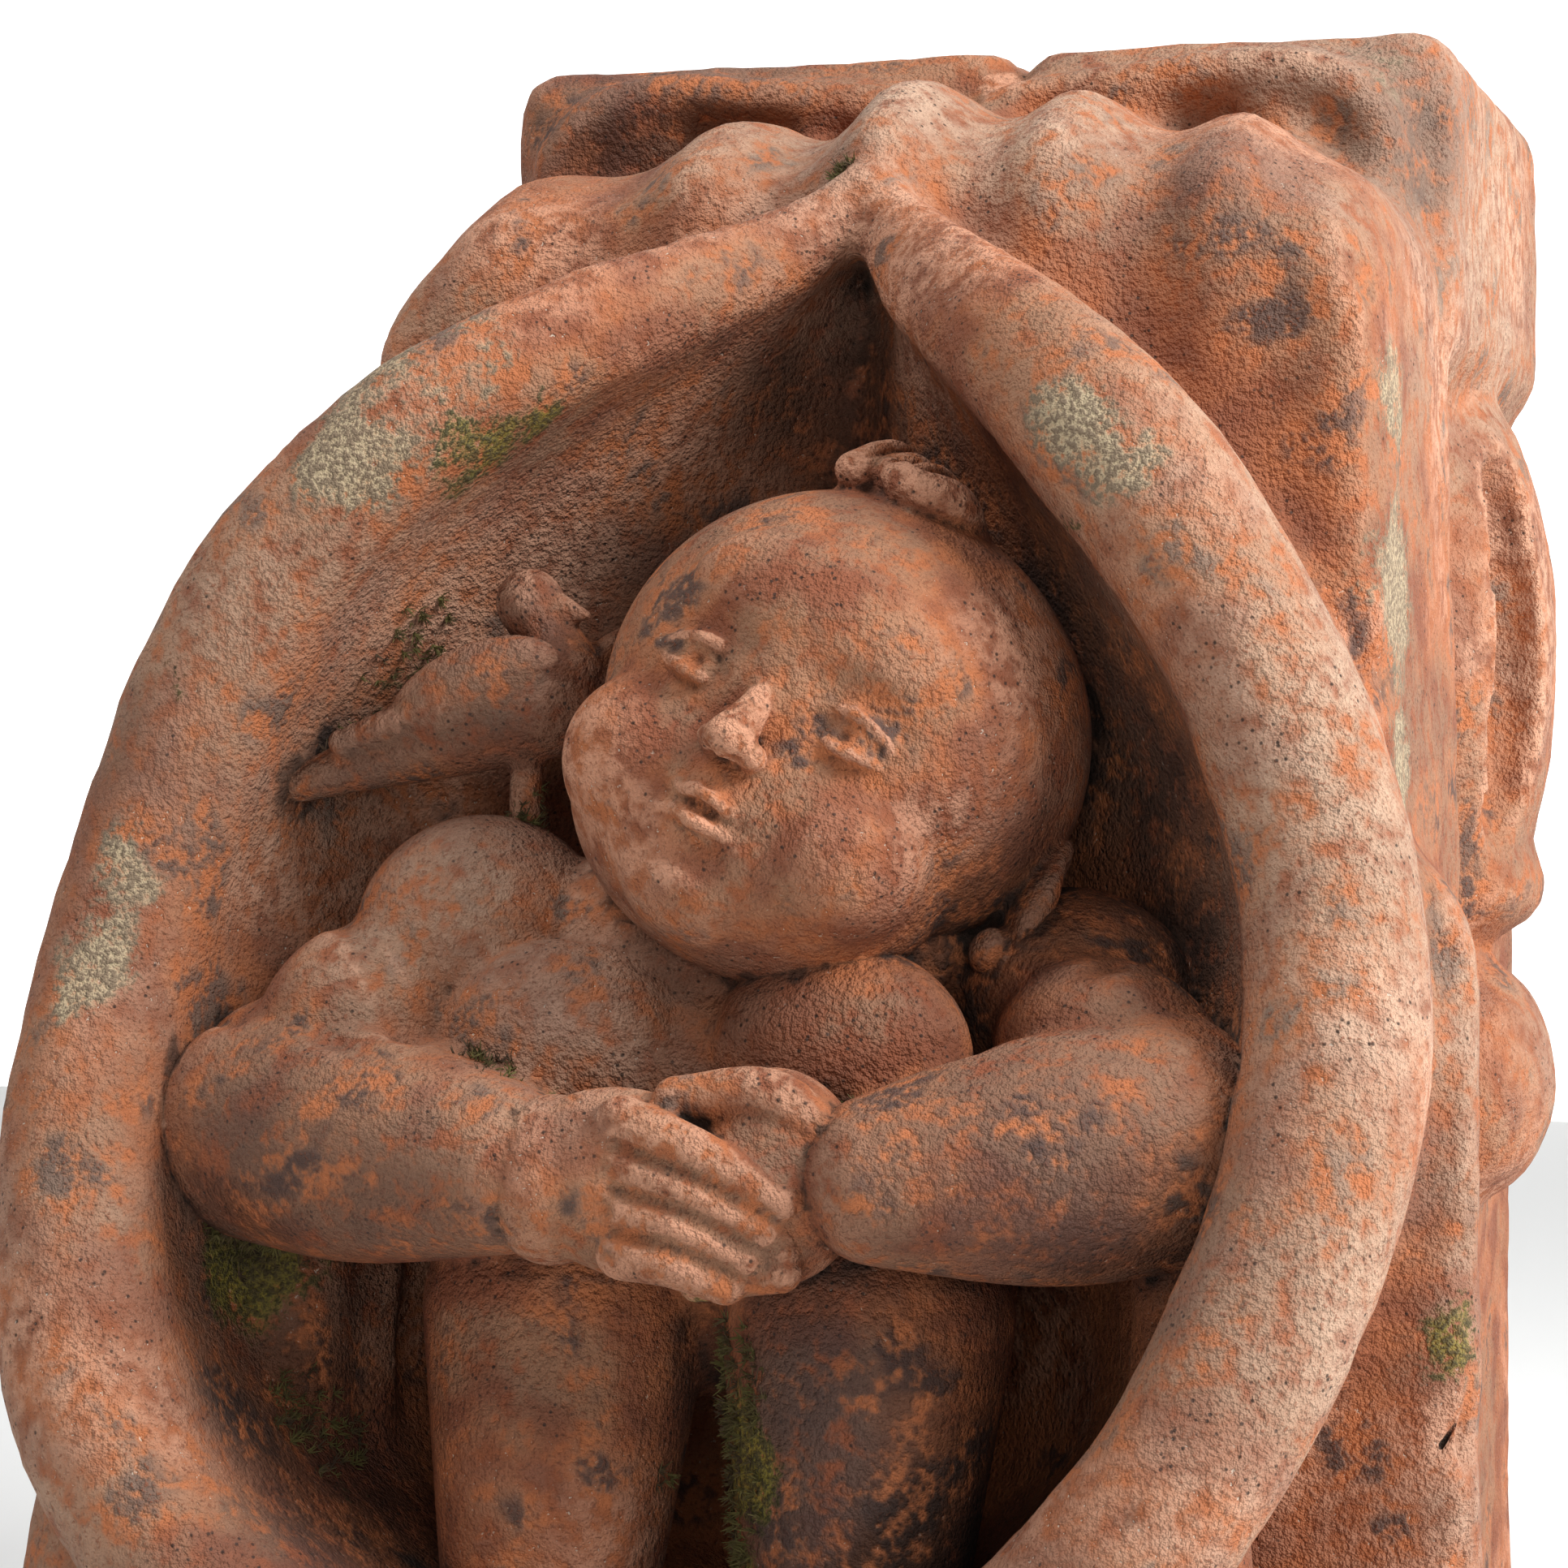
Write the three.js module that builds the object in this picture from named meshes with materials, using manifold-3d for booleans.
// Terracotta gargoyle: a tail block that was built into a wall, a fluted mass in front of it, and a hooded pod
// that holds a standing infant with a bird on its shoulder. All of it is one fired piece of clay.
// Millimetres, +Z up. The front faces -Y, and the origin is under the middle of the foot slab.
import * as THREE from "three";
import { mergeVertices } from "three/addons/utils/BufferGeometryUtils.js";
import Module from "manifold-3d";

const wasm = await Module();
wasm.setup();

// Foot slab
const footWidth = 424;
const footHeight = 46;
const footFront = -262;
const footCorner = 14;

// Tail block, which went into the wall
const tailWidth = 300;
const tailTop = 597;
const tailFront = 41;
const tailBack = 281;
const tailCorner = 12;
const capWidth = 322;
const capUnderside = 488;

// Raised scrolls on the front of the tail block
const scrollReach = 142;
const scrollCrown = 581;
const scrollTurn = 34;
const scrollFoot = 500;
const scrollThickness = 17;
const scrollProud = 15;

// Leaf, roll and bud on each side of the tail block
const leafLength = 176;
const leafMiddle = 399;
const leafDepth = 168;
const leafProud = 29;
const leafSetback = 122;
const rollMiddle = 318;
const rollRadius = 19;
const budMiddle = 251;
const budRadius = 42;
const budProud = 29;

// Fluted mass between the tail and the pod
const massWidth = 314;
const massFront = -90;
const massTop = 549;
const massShoulder = 34;
const massBrow = 42;
const fluteReach = 130;

// Body block behind the pod, with round shoulders
const bodyWidth = 388;
const bodyFront = -125;
const bodyTop = 343;
const bodyShoulder = 46;
const bodyTaper = 0.84;

// Pod: an oval rim that rises to a point, with a rolled lip
const podX = -7;
const podSkew = 15;
const podSkewStart = 400;
const podSwing = -8;
const podSwingStart = 150;
const podSwingEnd = 300;
const rimMiddle = 275;
const rimHalfWidth = 176;
const rimRise = 212;
const rimDrop = 190;
const rimPoint = 44;
const rimPointWidth = 34;
const rimFront = -225;
const rimLean = 126;
const rimLeanMiddle = 499;
const rimLeanSpread = 15;
const rimScoop = 66;
const lipRadius = 25;
const lipRadiusAtPoint = 9;
const podWallBack = -56;
const creaseFront = -84;
const creaseX = -3;
const creaseLow = 112;
const creaseHigh = 512;
const wallSteepLow = 140;
const wallSteepHigh = 245;
const foldSpan = 132;
const foldFront = -190;
const foldRadius = 16;
const foldTop = 226;

// Infant
const childX = -8;
const chestHeight = 278;
const chestFront = -215;
const shoulderHeight = 310;
const shoulderHalfSpan = 75;
const shoulderRadius = 34;
const shoulderDrop = 20;
const elbowHeight = 256;
const elbowHalfSpan = 127;
const elbowRadius = 34;
const wristHalfSpan = 52;
const wristX = 2;
const wristHeight = 249;
const wristFront = -252;
const wristRadius = 23;
const fingerPitch = 11.5;
const fingerReach = 43;
const fingerDrop = 20;
const hipHeight = 206;
const hipHalfSpan = 44;
const thighRadius = 41;
const ankleRadius = 23;
const headRadius = 71;
const headCentre = new THREE.Vector3(19, -181, 362);
const headRoll = 26;
const headPitch = 17;
const headTurn = -5;
const tuftX = 0.06;

// Bird on the infant's shoulder
const birdLength = 74;
const birdChest = new THREE.Vector3(-66, -183, 377);
const birdChestRadius = 19;
const birdTailDrop = 24;

const up = new THREE.Vector3(0, 1, 0);
const point = (x, y, z) => new THREE.Vector3(x, y, z);

// A closed geometry as a solid that can be joined and cut.
function solid(geometry) {
  const bare = geometry.index ? geometry.toNonIndexed() : geometry.clone();
  bare.deleteAttribute("normal");
  bare.deleteAttribute("uv");
  const merged = mergeVertices(bare, 1e-3);
  return new wasm.Manifold(
    new wasm.Mesh({
      numProp: 3,
      vertProperties: merged.attributes.position.array,
      triVerts: new Uint32Array(merged.index.array),
    }),
  );
}

const join = (solids) => solids.reduce((whole, next) => whole.add(next));

// An ellipsoid with its radii along X, Y and Z, turned by degrees about those axes, in a placing matrix's frame.
function ball(centre, radii, turn = [0, 0, 0], around = 9, down = 7, placing = new THREE.Matrix4()) {
  const geometry = new THREE.SphereGeometry(1, around, down);
  geometry.rotateX(Math.PI / 2);
  geometry.scale(...radii);
  const angles = turn.map(THREE.MathUtils.degToRad);
  geometry.applyMatrix4(new THREE.Matrix4().makeRotationFromEuler(new THREE.Euler(...angles)));
  geometry.translate(centre.x, centre.y, centre.z);
  geometry.applyMatrix4(placing);
  return solid(geometry);
}

// A round-ended limb from one joint to the next, with a radius at each and a swelling between them.
function limb(from, to, radiusFrom, radiusTo, swelling = 0, around = 12) {
  const length = from.distanceTo(to);
  const profile = [];
  const capSteps = around > 9 ? 3 : 2;
  const runSteps = swelling ? 3 : 2;
  for (let i = 0; i <= capSteps; i++) {
    const a = (i / capSteps) * (Math.PI / 2);
    profile.push(new THREE.Vector2(radiusFrom * Math.sin(a), -radiusFrom * Math.cos(a)));
  }
  for (let i = 1; i < runSteps; i++) {
    const t = i / runSteps;
    const radius = THREE.MathUtils.lerp(radiusFrom, radiusTo, t) + swelling * Math.sin(Math.PI * t);
    profile.push(new THREE.Vector2(radius, length * t));
  }
  for (let i = 0; i <= capSteps; i++) {
    const a = (i / capSteps) * (Math.PI / 2);
    profile.push(new THREE.Vector2(radiusTo * Math.cos(a), length + radiusTo * Math.sin(a)));
  }
  const geometry = new THREE.LatheGeometry(profile, around);
  const along = to.clone().sub(from).normalize();
  geometry.applyQuaternion(new THREE.Quaternion().setFromUnitVectors(up, along));
  geometry.translate(from.x, from.y, from.z);
  return solid(geometry);
}

// A front outline in X and Z, pushed back from one Y to another.
function slab(outline, front, back, curveSegments = 5) {
  const geometry = new THREE.ExtrudeGeometry(outline, {
    depth: back - front,
    bevelEnabled: false,
    curveSegments,
  });
  geometry.rotateX(Math.PI / 2);
  geometry.translate(0, back, 0);
  return solid(geometry);
}

// The outline of a block with round top corners.
function blockOutline(width, low, high, corner) {
  const half = width / 2;
  const outline = new THREE.Shape();
  outline.moveTo(-half, low);
  outline.lineTo(half, low);
  outline.lineTo(half, high - corner);
  outline.absarc(half - corner, high - corner, corner, 0, Math.PI / 2, false);
  outline.absarc(-half + corner, high - corner, corner, Math.PI / 2, Math.PI, false);
  outline.closePath();
  return outline;
}

// The foot slab, a plan with round corners under the whole piece.
function foot() {
  const half = footWidth / 2;
  const plan = new THREE.Shape();
  plan.absarc(-half + footCorner, footFront + footCorner, footCorner, Math.PI, Math.PI * 1.5, false);
  plan.absarc(half - footCorner, footFront + footCorner, footCorner, Math.PI * 1.5, Math.PI * 2, false);
  plan.lineTo(half, tailFront);
  plan.lineTo(tailWidth / 2, tailFront + footCorner * 2);
  plan.lineTo(tailWidth / 2, tailBack);
  plan.lineTo(-tailWidth / 2, tailBack);
  plan.lineTo(-tailWidth / 2, tailFront + footCorner * 2);
  plan.lineTo(-half, tailFront);
  plan.closePath();
  return solid(new THREE.ExtrudeGeometry(plan, { depth: footHeight, bevelEnabled: false, curveSegments: 4 }));
}

// One raised scroll: a band that runs out under the top edge, turns the corner and goes down.
function scroll(side) {
  const path = new THREE.CurvePath();
  const y = tailFront - scrollProud * 0.3;
  const inner = point(side * 16, y, scrollCrown - 6);
  const top = point(side * (scrollReach - scrollTurn), y, scrollCrown + 4);
  const out = point(side * scrollReach, y, scrollCrown - scrollTurn);
  const low = point(side * scrollReach, y, scrollFoot);
  path.add(new THREE.QuadraticBezierCurve3(inner, point(side * 60, y, scrollCrown + 2), top));
  path.add(new THREE.QuadraticBezierCurve3(top, point(side * scrollReach, y, scrollCrown + 5), out));
  path.add(new THREE.LineCurve3(out, low));
  const section = new THREE.Shape();
  section.absellipse(0, 0, scrollProud, scrollThickness / 2, 0, Math.PI * 2, false, 0);
  const knots = 10;
  const spine = new THREE.CatmullRomCurve3(path.getSpacedPoints(knots));
  const geometry = new THREE.ExtrudeGeometry(section, {
    steps: knots,
    extrudePath: spine,
    curveSegments: 3,
    bevelEnabled: false,
  });
  return solid(geometry);
}

// The leaf on one side of the tail, hollowed along its front, with the roll and the bud under it.
function sideOrnament(side) {
  const x = (side * tailWidth) / 2;
  const y = tailFront + leafSetback;
  const leaf = ball(point(x, y, leafMiddle), [leafProud, leafDepth / 2, leafLength / 2], [0, 0, 0], 11, 7);
  const hollow = ball(
    point(x + side * leafProud * 0.55, y - leafDepth * 0.44, leafMiddle),
    [leafProud * 0.72, leafDepth * 0.3, leafLength * 0.41],
    [0, 0, side * 8],
    8,
    6,
  );
  const roll = ball(point(x, y + 8, rollMiddle), [rollRadius * 1.35, leafDepth * 0.34, rollRadius]);
  const bud = ball(point(x, y, budMiddle), [budProud, leafDepth * 0.36, budRadius], [0, 0, 0]);
  return join([leaf.subtract(hollow), roll, bud]);
}

// The tail block: a plain shaft under a wider cap, with its scrolls and leaves.
function tail() {
  const shaft = slab(blockOutline(tailWidth, 0, tailTop - tailCorner, tailCorner), tailFront + 2, tailBack);
  const cap = slab(blockOutline(capWidth, capUnderside, tailTop, tailCorner), tailFront, tailBack);
  const pieces = [shaft, cap];
  for (const side of [-1, 1]) pieces.push(scroll(side), sideOrnament(side));
  return join(pieces);
}

// The flutes of the mass: where each ridge stands, how far it rises and how wide it is.
const ridges = [
  { x: -122, rise: 6, wide: 20 },
  { x: -50, rise: 15, wide: 20 },
  { x: 9, rise: 25, wide: 22 },
  { x: 60, rise: 19, wide: 19 },
  { x: 112, rise: 14, wide: 18 },
  { x: 146, rise: 10, wide: 14 },
];
const ridgeAt = (x) => ridges.reduce((sum, r) => sum + r.rise * Math.exp(-(((x - r.x) / r.wide) ** 2)), 0);

// The fluted mass: a box with a round brow, whose top waves and whose front has ridges that fade downwards.
function flutedMass() {
  const depth = tailFront + 20 - massFront;
  const height = massTop - footHeight / 2;
  const low = massTop - height;
  const geometry = new THREE.BoxGeometry(massWidth, depth, height, 24, 3, 5);
  geometry.translate(0, massFront + depth / 2, massTop - height / 2);
  const place = geometry.attributes.position;
  for (let i = 0; i < place.count; i++) {
    const x = place.getX(i);
    const high = THREE.MathUtils.clamp((place.getZ(i) - low) / height, 0, 1);
    const fromFront = (place.getY(i) - massFront) / depth;
    const z = low + height * high ** 0.62;
    const edge = Math.abs(x / (massWidth / 2));
    const near = THREE.MathUtils.clamp((z - massTop + massBrow) / massBrow, 0, 1);
    const back = massBrow * (1 - Math.sqrt(1 - near ** 2));
    const ridge = ridgeAt(x) * THREE.MathUtils.smoothstep(z, massTop - fluteReach, massTop - massBrow / 3);
    const brow = massBrow * 0.3 * Math.max(0, 1 - fromFront * 3) ** 2;
    const lift = (ridgeAt(x) - massShoulder * edge ** 7 - brow) * THREE.MathUtils.smoothstep(high, 0.72, 1);
    const y = place.getY(i) + (back * 0.55 - ridge * 0.5) * (1 - fromFront);
    place.setXYZ(i, x * (1 + 0.05 * (1 - high)), y, z + lift);
  }
  return solid(geometry);
}

// Half the rim's width and its height, going round from the point at 0 to the foot at half a turn.
function rimAt(angle) {
  const x = rimHalfWidth * Math.sin(angle);
  const rise = Math.cos(angle) > 0 ? rimRise : rimDrop;
  const pointed = Math.cos(angle) > 0 ? rimPoint * Math.exp(-Math.abs(x) / rimPointWidth) : 0;
  return point(x, 0, rimMiddle + rise * Math.cos(angle) + pointed);
}

// How far forward the rim stands at a height: it leans back into its point and scoops forward below.
function rimDepth(z) {
  const lean = rimLean / (1 + Math.exp((rimLeanMiddle - z) / rimLeanSpread));
  const below = THREE.MathUtils.clamp((rimMiddle + 78 - z) / 215, 0, 1);
  return rimFront + lean - rimScoop * Math.sin((below ** 1.35 * Math.PI) / 2);
}

// A turned form warped to the rim: each station of the profile gives a point for the crest it starts from.
function aroundRim(stations) {
  const around = 39;
  const last = stations.length - 1;
  const profile = stations.map((s, j) => new THREE.Vector2(j % last ? 1 : 0, j));
  const geometry = new THREE.LatheGeometry(profile, around);
  const place = geometry.attributes.position;
  for (let i = 0; i <= around; i++) {
    const angle = -(i % around) * ((2 * Math.PI) / around);
    const crest = rimAt(angle);
    const step = 0.01;
    const along = rimAt(angle + step).sub(rimAt(angle - step)).normalize();
    const outward = point(-along.z, 0, along.x);
    const pointed = Math.cos(angle) > 0 ? Math.exp(-Math.abs(crest.x) / 60) : 0;
    const radius = THREE.MathUtils.lerp(lipRadius, lipRadiusAtPoint, pointed);
    const front = rimDepth(crest.z);
    const heart = point(creaseX, 0, THREE.MathUtils.clamp(crest.z, creaseLow, creaseHigh));
    stations.forEach((station, j) => {
      const p = station({ crest, outward, radius, front, heart });
      const skew = podSkew * THREE.MathUtils.smoothstep(p.z, podSkewStart, rimMiddle + rimRise + rimPoint);
      const swing = podSwing * (1 - THREE.MathUtils.smoothstep(p.z, podSwingStart, podSwingEnd));
      place.setXYZ(i * stations.length + j, p.x + podX + skew + swing, p.y, p.z);
    });
  }
  return solid(geometry);
}

// The rolled lip at a turn, from 0 on its outside to half a turn on its inside.
function lipAt(turn) {
  return (rim) => {
    const p = rim.crest.clone().addScaledVector(rim.outward, rim.radius * Math.cos(turn));
    return p.setY(rim.front + rim.radius * (1 - Math.sin(turn)));
  };
}

// The inside wall at a share of the way from the lip to the upright crease, steeper beside the infant's legs.
function innerAt(share, slack = 0) {
  return (rim) => {
    const start = rim.crest.clone().addScaledVector(rim.outward, slack - rim.radius);
    const mouth = rim.front + rim.radius;
    const steep = 1 - THREE.MathUtils.smoothstep(rim.crest.z, wallSteepLow, wallSteepHigh);
    const p = start.lerp(rim.heart, share ** (1.3 + 1.1 * steep));
    const back = Math.max(creaseFront, mouth + 12) + slack;
    return p.setY(THREE.MathUtils.lerp(mouth, back, share ** (0.75 - 0.15 * steep)));
  };
}

// The pod is a turned cup, warped: its outer wall runs back into the body, its lip is rolled and its inner
// walls close on an upright crease.
function pod() {
  const outerAt = (share) => (rim) => {
    const p = rim.crest.clone().addScaledVector(rim.outward, rim.radius * (1 - 0.9 * share));
    const mouth = rim.front + rim.radius;
    return p.setY(THREE.MathUtils.lerp(mouth, Math.max(podWallBack, mouth + 14), share));
  };
  const lipTurns = [0, 0.2, 0.4, 0.6, 0.8, 1].map((share) => share * Math.PI);
  return aroundRim([
    () => point(0, podWallBack, rimMiddle),
    ...[1, 0.5].map(outerAt),
    ...lipTurns.map(lipAt),
    ...[0.25, 0.5, 0.75, 0.95].map((share) => innerAt(share)),
    () => point(creaseX, creaseFront, rimMiddle),
  ]);
}

// The space in the pod, which the blocks behind it are hollowed to.
function hollow() {
  const slack = 4;
  return aroundRim([
    () => point(creaseX, creaseFront + slack, rimMiddle),
    ...[0.95, 0.75, 0.5, 0.25, 0].map((share) => innerAt(share, slack)),
    (rim) => rim.crest.clone().addScaledVector(rim.outward, slack - rim.radius).setY(rim.front - lipRadius),
    () => point(0, rimFront - rimScoop * 2, rimMiddle),
  ]);
}

// Two leaf folds, one behind the other, inside the pod on each side of the infant's legs.
function innerFolds() {
  const folds = [];
  for (const side of [-1, 1]) {
    const x = childX + side * foldSpan;
    const behind = x - side * foldRadius;
    const front = [point(x, foldFront, 60), point(x - side * 2, foldFront, foldTop)];
    const back = [point(behind, foldFront + 20, 60), point(behind, foldFront + 20, foldTop - 6)];
    folds.push(limb(...front, foldRadius + 3, foldRadius, 0, 6), limb(...back, 11, 9, 0, 5));
  }
  return join(folds);
}

// The rough rock at the pod's foot, higher on the left, set in from the foot slab's sides and front.
function rock() {
  const side = footWidth / 2;
  return join([
    ball(point(40 - side, footFront + 66, footHeight + 28), [43, 58, 108], [0, -9, 0]),
    ball(point(92 - side, footFront + 40, footHeight - 6), [70, 52, 52], [0, 0, 0], 9, 6),
    ball(point(side - 100, footFront + 48, footHeight - 12), [84, 58, 50], [0, 0, 0], 9, 6),
  ]);
}

// The head's own frame: +Y out of the face, +Z to the crown, with the head's radius as its unit. The face turns to
// the front, looks up a little and tilts to its crown's right.
function headFrame() {
  const angle = THREE.MathUtils.degToRad;
  const frame = new THREE.Matrix4().makeTranslation(headCentre);
  frame.multiply(new THREE.Matrix4().makeRotationZ(angle(headTurn)));
  frame.multiply(new THREE.Matrix4().makeRotationY(angle(headRoll)));
  frame.multiply(new THREE.Matrix4().makeRotationZ(angle(180)));
  frame.multiply(new THREE.Matrix4().makeRotationX(angle(headPitch)));
  return frame.scale(point(headRadius, headRadius, headRadius));
}

// The head: skull, jaw, chin, nose, lips, cheeks and ears, with the eyes set in their sockets and a tuft of hair.
function head() {
  const frame = headFrame();
  const form = (x, y, z, radii, turn = [0, 0, 0], around = 7, down = 5) =>
    ball(point(x, y, z), radii, turn, around, down, frame);
  const pieces = [
    form(0, -0.04, 0.12, [0.98, 1.02, 0.93], [0, 0, 0], 13, 9),
    form(0, 0.28, -0.4, [0.8, 0.66, 0.62], [0, 0, 0], 12, 8),
    form(0, 0.56, -0.74, [0.34, 0.28, 0.26]),
    form(0, 0.92, -0.05, [0.09, 0.11, 0.16], [20, 0, 0]),
    form(0, 0.98, -0.22, [0.1, 0.16, 0.12]),
    form(0, 0.87, -0.46, [0.19, 0.13, 0.06]),
    form(0, 0.84, -0.57, [0.16, 0.13, 0.06]),
  ];
  for (const side of [-1, 1]) {
    pieces.push(form(side * 0.4, 0.52, -0.4, [0.4, 0.38, 0.38], [0, 0, 0], 9, 6));
    pieces.push(form(side * 0.98, -0.1, -0.14, [0.12, 0.2, 0.28], [12, 0, side * -24]));
  }
  const sockets = [-1, 1].map((side) => form(side * 0.34, 1.02, -0.02, [0.2, 0.22, 0.12], [0, 0, side * -16]));
  const eyes = [-1, 1].map((side) => form(side * 0.33, 0.74, -0.03, [0.15, 0.17, 0.13]));
  const mouth = form(0, 0.99, -0.515, [0.15, 0.08, 0.022]);
  const locks = [-1, 0, 1].map((i) => form(tuftX + 0.13 * i, 0.24, 1.0, [0.1, 0.26, 0.12], [12, 0, 8 * i], 7, 5));
  return join([...pieces, ...locks])
    .subtract(join([...sockets, mouth]))
    .add(join(eyes));
}

// One arm, from the shoulder down to the elbow at the pod's wall and back to the wrist in front.
function arm(side) {
  const lower = side > 0 ? shoulderDrop : 0;
  const out = childX + side * (shoulderHalfSpan + lower);
  const shoulder = point(out, chestFront + 26 + lower, shoulderHeight - lower);
  const elbow = point(childX + side * elbowHalfSpan, chestFront, elbowHeight);
  const wrist = point(wristX + side * wristHalfSpan, wristFront, wristHeight);
  return join([
    ball(shoulder, [shoulderRadius * 1.08, shoulderRadius, shoulderRadius], [0, side * 24, 0], 12, 8),
    limb(shoulder.clone().lerp(elbow, 0.5), elbow, elbowRadius * 0.94, elbowRadius * 0.9, 0, 10),
    limb(elbow, wrist, elbowRadius, wristRadius, 3, 11),
  ]);
}

// The hands, the infant's right laid over its left, with four fingers across.
function hands() {
  const over = point(wristX - 16, wristFront - 6, wristHeight - 2);
  const under = point(wristX + 22, wristFront + 1, wristHeight);
  const thumb = point(under.x + 2, under.y - 10, under.z + 23);
  const pieces = [
    ball(over, [34, 19, 25], [0, 12, 0]),
    ball(under, [25, 20, 29]),
    limb(point(thumb.x - 24, thumb.y, thumb.z), thumb, 6, 7, 0, 6),
    limb(thumb, point(thumb.x + 15, thumb.y + 3, thumb.z - 12), 7, 7, 0, 6),
    ball(point(wristX + 13, wristFront - 15, wristHeight - 7), [13, 10, 17], [0, 0, 0], 8, 6),
  ];
  const fingers = 4;
  for (let i = 0; i < fingers; i++) {
    const knuckle = point(over.x + 2, over.y - 14, over.z + 17 - i * fingerPitch);
    const tip = point(knuckle.x + fingerReach - 5 * i, over.y - 12, knuckle.z - fingerDrop + 4 * i);
    pieces.push(limb(knuckle, tip, 7, 5.6, 0, 6));
  }
  return join(pieces);
}

// One leg, straight down from the hip, with its foot on the slab.
function leg(side) {
  const x = childX + side * hipHalfSpan;
  const hip = point(x, chestFront + 14, hipHeight);
  const ankle = point(x - 2, chestFront - 6, footHeight + 34);
  return join([
    limb(hip, ankle, thighRadius, ankleRadius, 0, 11),
    ball(point(x - 2, ankle.y - 22, footHeight + 12), [23, 44, 19]),
  ]);
}

// The infant's trunk: chest, belly and back, and two round breasts.
function trunk() {
  const back = chestFront + 36;
  const pieces = [
    ball(point(childX, back, chestHeight - 24), [78, 50, 62], [0, 0, 0], 12, 7),
    ball(point(childX, back, shoulderHeight - 4), [70, 38, 34], [0, 0, 0], 10, 6),
    ball(point(childX, back + 8, hipHeight + 14), [80, 40, 42]),
    limb(point(childX, back + 12, shoulderHeight), headCentre, 40, 44, 0, 8),
  ];
  for (const side of [-1, 1])
    pieces.push(ball(point(childX + side * 40, chestFront, chestHeight), [36, 25, 31], [0, 0, 0], 11, 8));
  return join(pieces);
}

// The bird: it faces right, and its tail runs down into the pod's wall.
function bird() {
  const c = birdChest;
  const tailTip = point(c.x - birdLength, c.y - 2, c.z - birdTailDrop);
  const rump = c.clone().lerp(tailTip, 0.45);
  const headAt = point(c.x - 5, c.y + 3, c.z + 27);
  return join([
    limb(c, rump, birdChestRadius, 13, 0, 8),
    ball(rump.clone().lerp(tailTip, 0.45), [30, 16, 12], [0, -20, 0], 8, 6),
    limb(c, headAt, 12, 8.5, 0, 6),
    ball(headAt, [12.5, 10.5, 10.5], [0, 0, 0], 8, 6),
    ball(point(headAt.x + 12, headAt.y - 2, headAt.z - 2), [8, 4, 3.6], [0, 14, 0], 6, 4),
    limb(point(c.x - 4, c.y - 2, c.z - 16), point(c.x - 5, c.y - 2, c.z - 34), 5, 4.4, 0, 6),
    ball(point(c.x - 18, c.y - 9, c.z + 2), [28, 10, 12], [0, -18, 0], 8, 6),
  ]);
}

// The body block behind the pod, narrower towards the wall.
function body() {
  const low = footHeight / 2;
  const back = tailFront + 8;
  const outline = blockOutline(bodyWidth, low, bodyTop, bodyShoulder);
  const geometry = new THREE.ExtrudeGeometry(outline, { depth: 1, bevelEnabled: false, curveSegments: 5 });
  const place = geometry.attributes.position;
  for (let i = 0; i < place.count; i++) {
    const y = THREE.MathUtils.lerp(back, bodyFront, place.getZ(i));
    const narrowing = THREE.MathUtils.lerp(bodyTaper, 1, place.getZ(i));
    place.setXYZ(i, place.getX(i) * narrowing, y, place.getY(i));
  }
  return solid(geometry);
}

const blocks = join([foot(), tail(), flutedMass(), body(), rock()]).subtract(hollow());
const surround = join([blocks, pod(), innerFolds()]);
const infant = join([trunk(), arm(-1), arm(1), leg(-1), leg(1), hands(), head()]);
const cutSpan = 2 * (footWidth + tailBack);
const cutDepth = 2 * footHeight;
const below = solid(new THREE.BoxGeometry(cutSpan, cutSpan, cutDepth).translate(0, 0, -cutDepth / 2));
const whole = join([surround, infant, bird()]).subtract(below);

const made = whole.getMesh();
const geometry = new THREE.BufferGeometry();
geometry.setAttribute("position", new THREE.BufferAttribute(made.vertProperties, 3));
geometry.setIndex(new THREE.BufferAttribute(made.triVerts, 1));
geometry.computeVertexNormals();

const terracotta = new THREE.MeshStandardMaterial({ color: 0x9c5a3c, roughness: 0.92, metalness: 0 });
const gargoyle = new THREE.Mesh(geometry, terracotta);
gargoyle.name = "gargoyle";

const group = new THREE.Group();
group.add(gargoyle);
export default group;
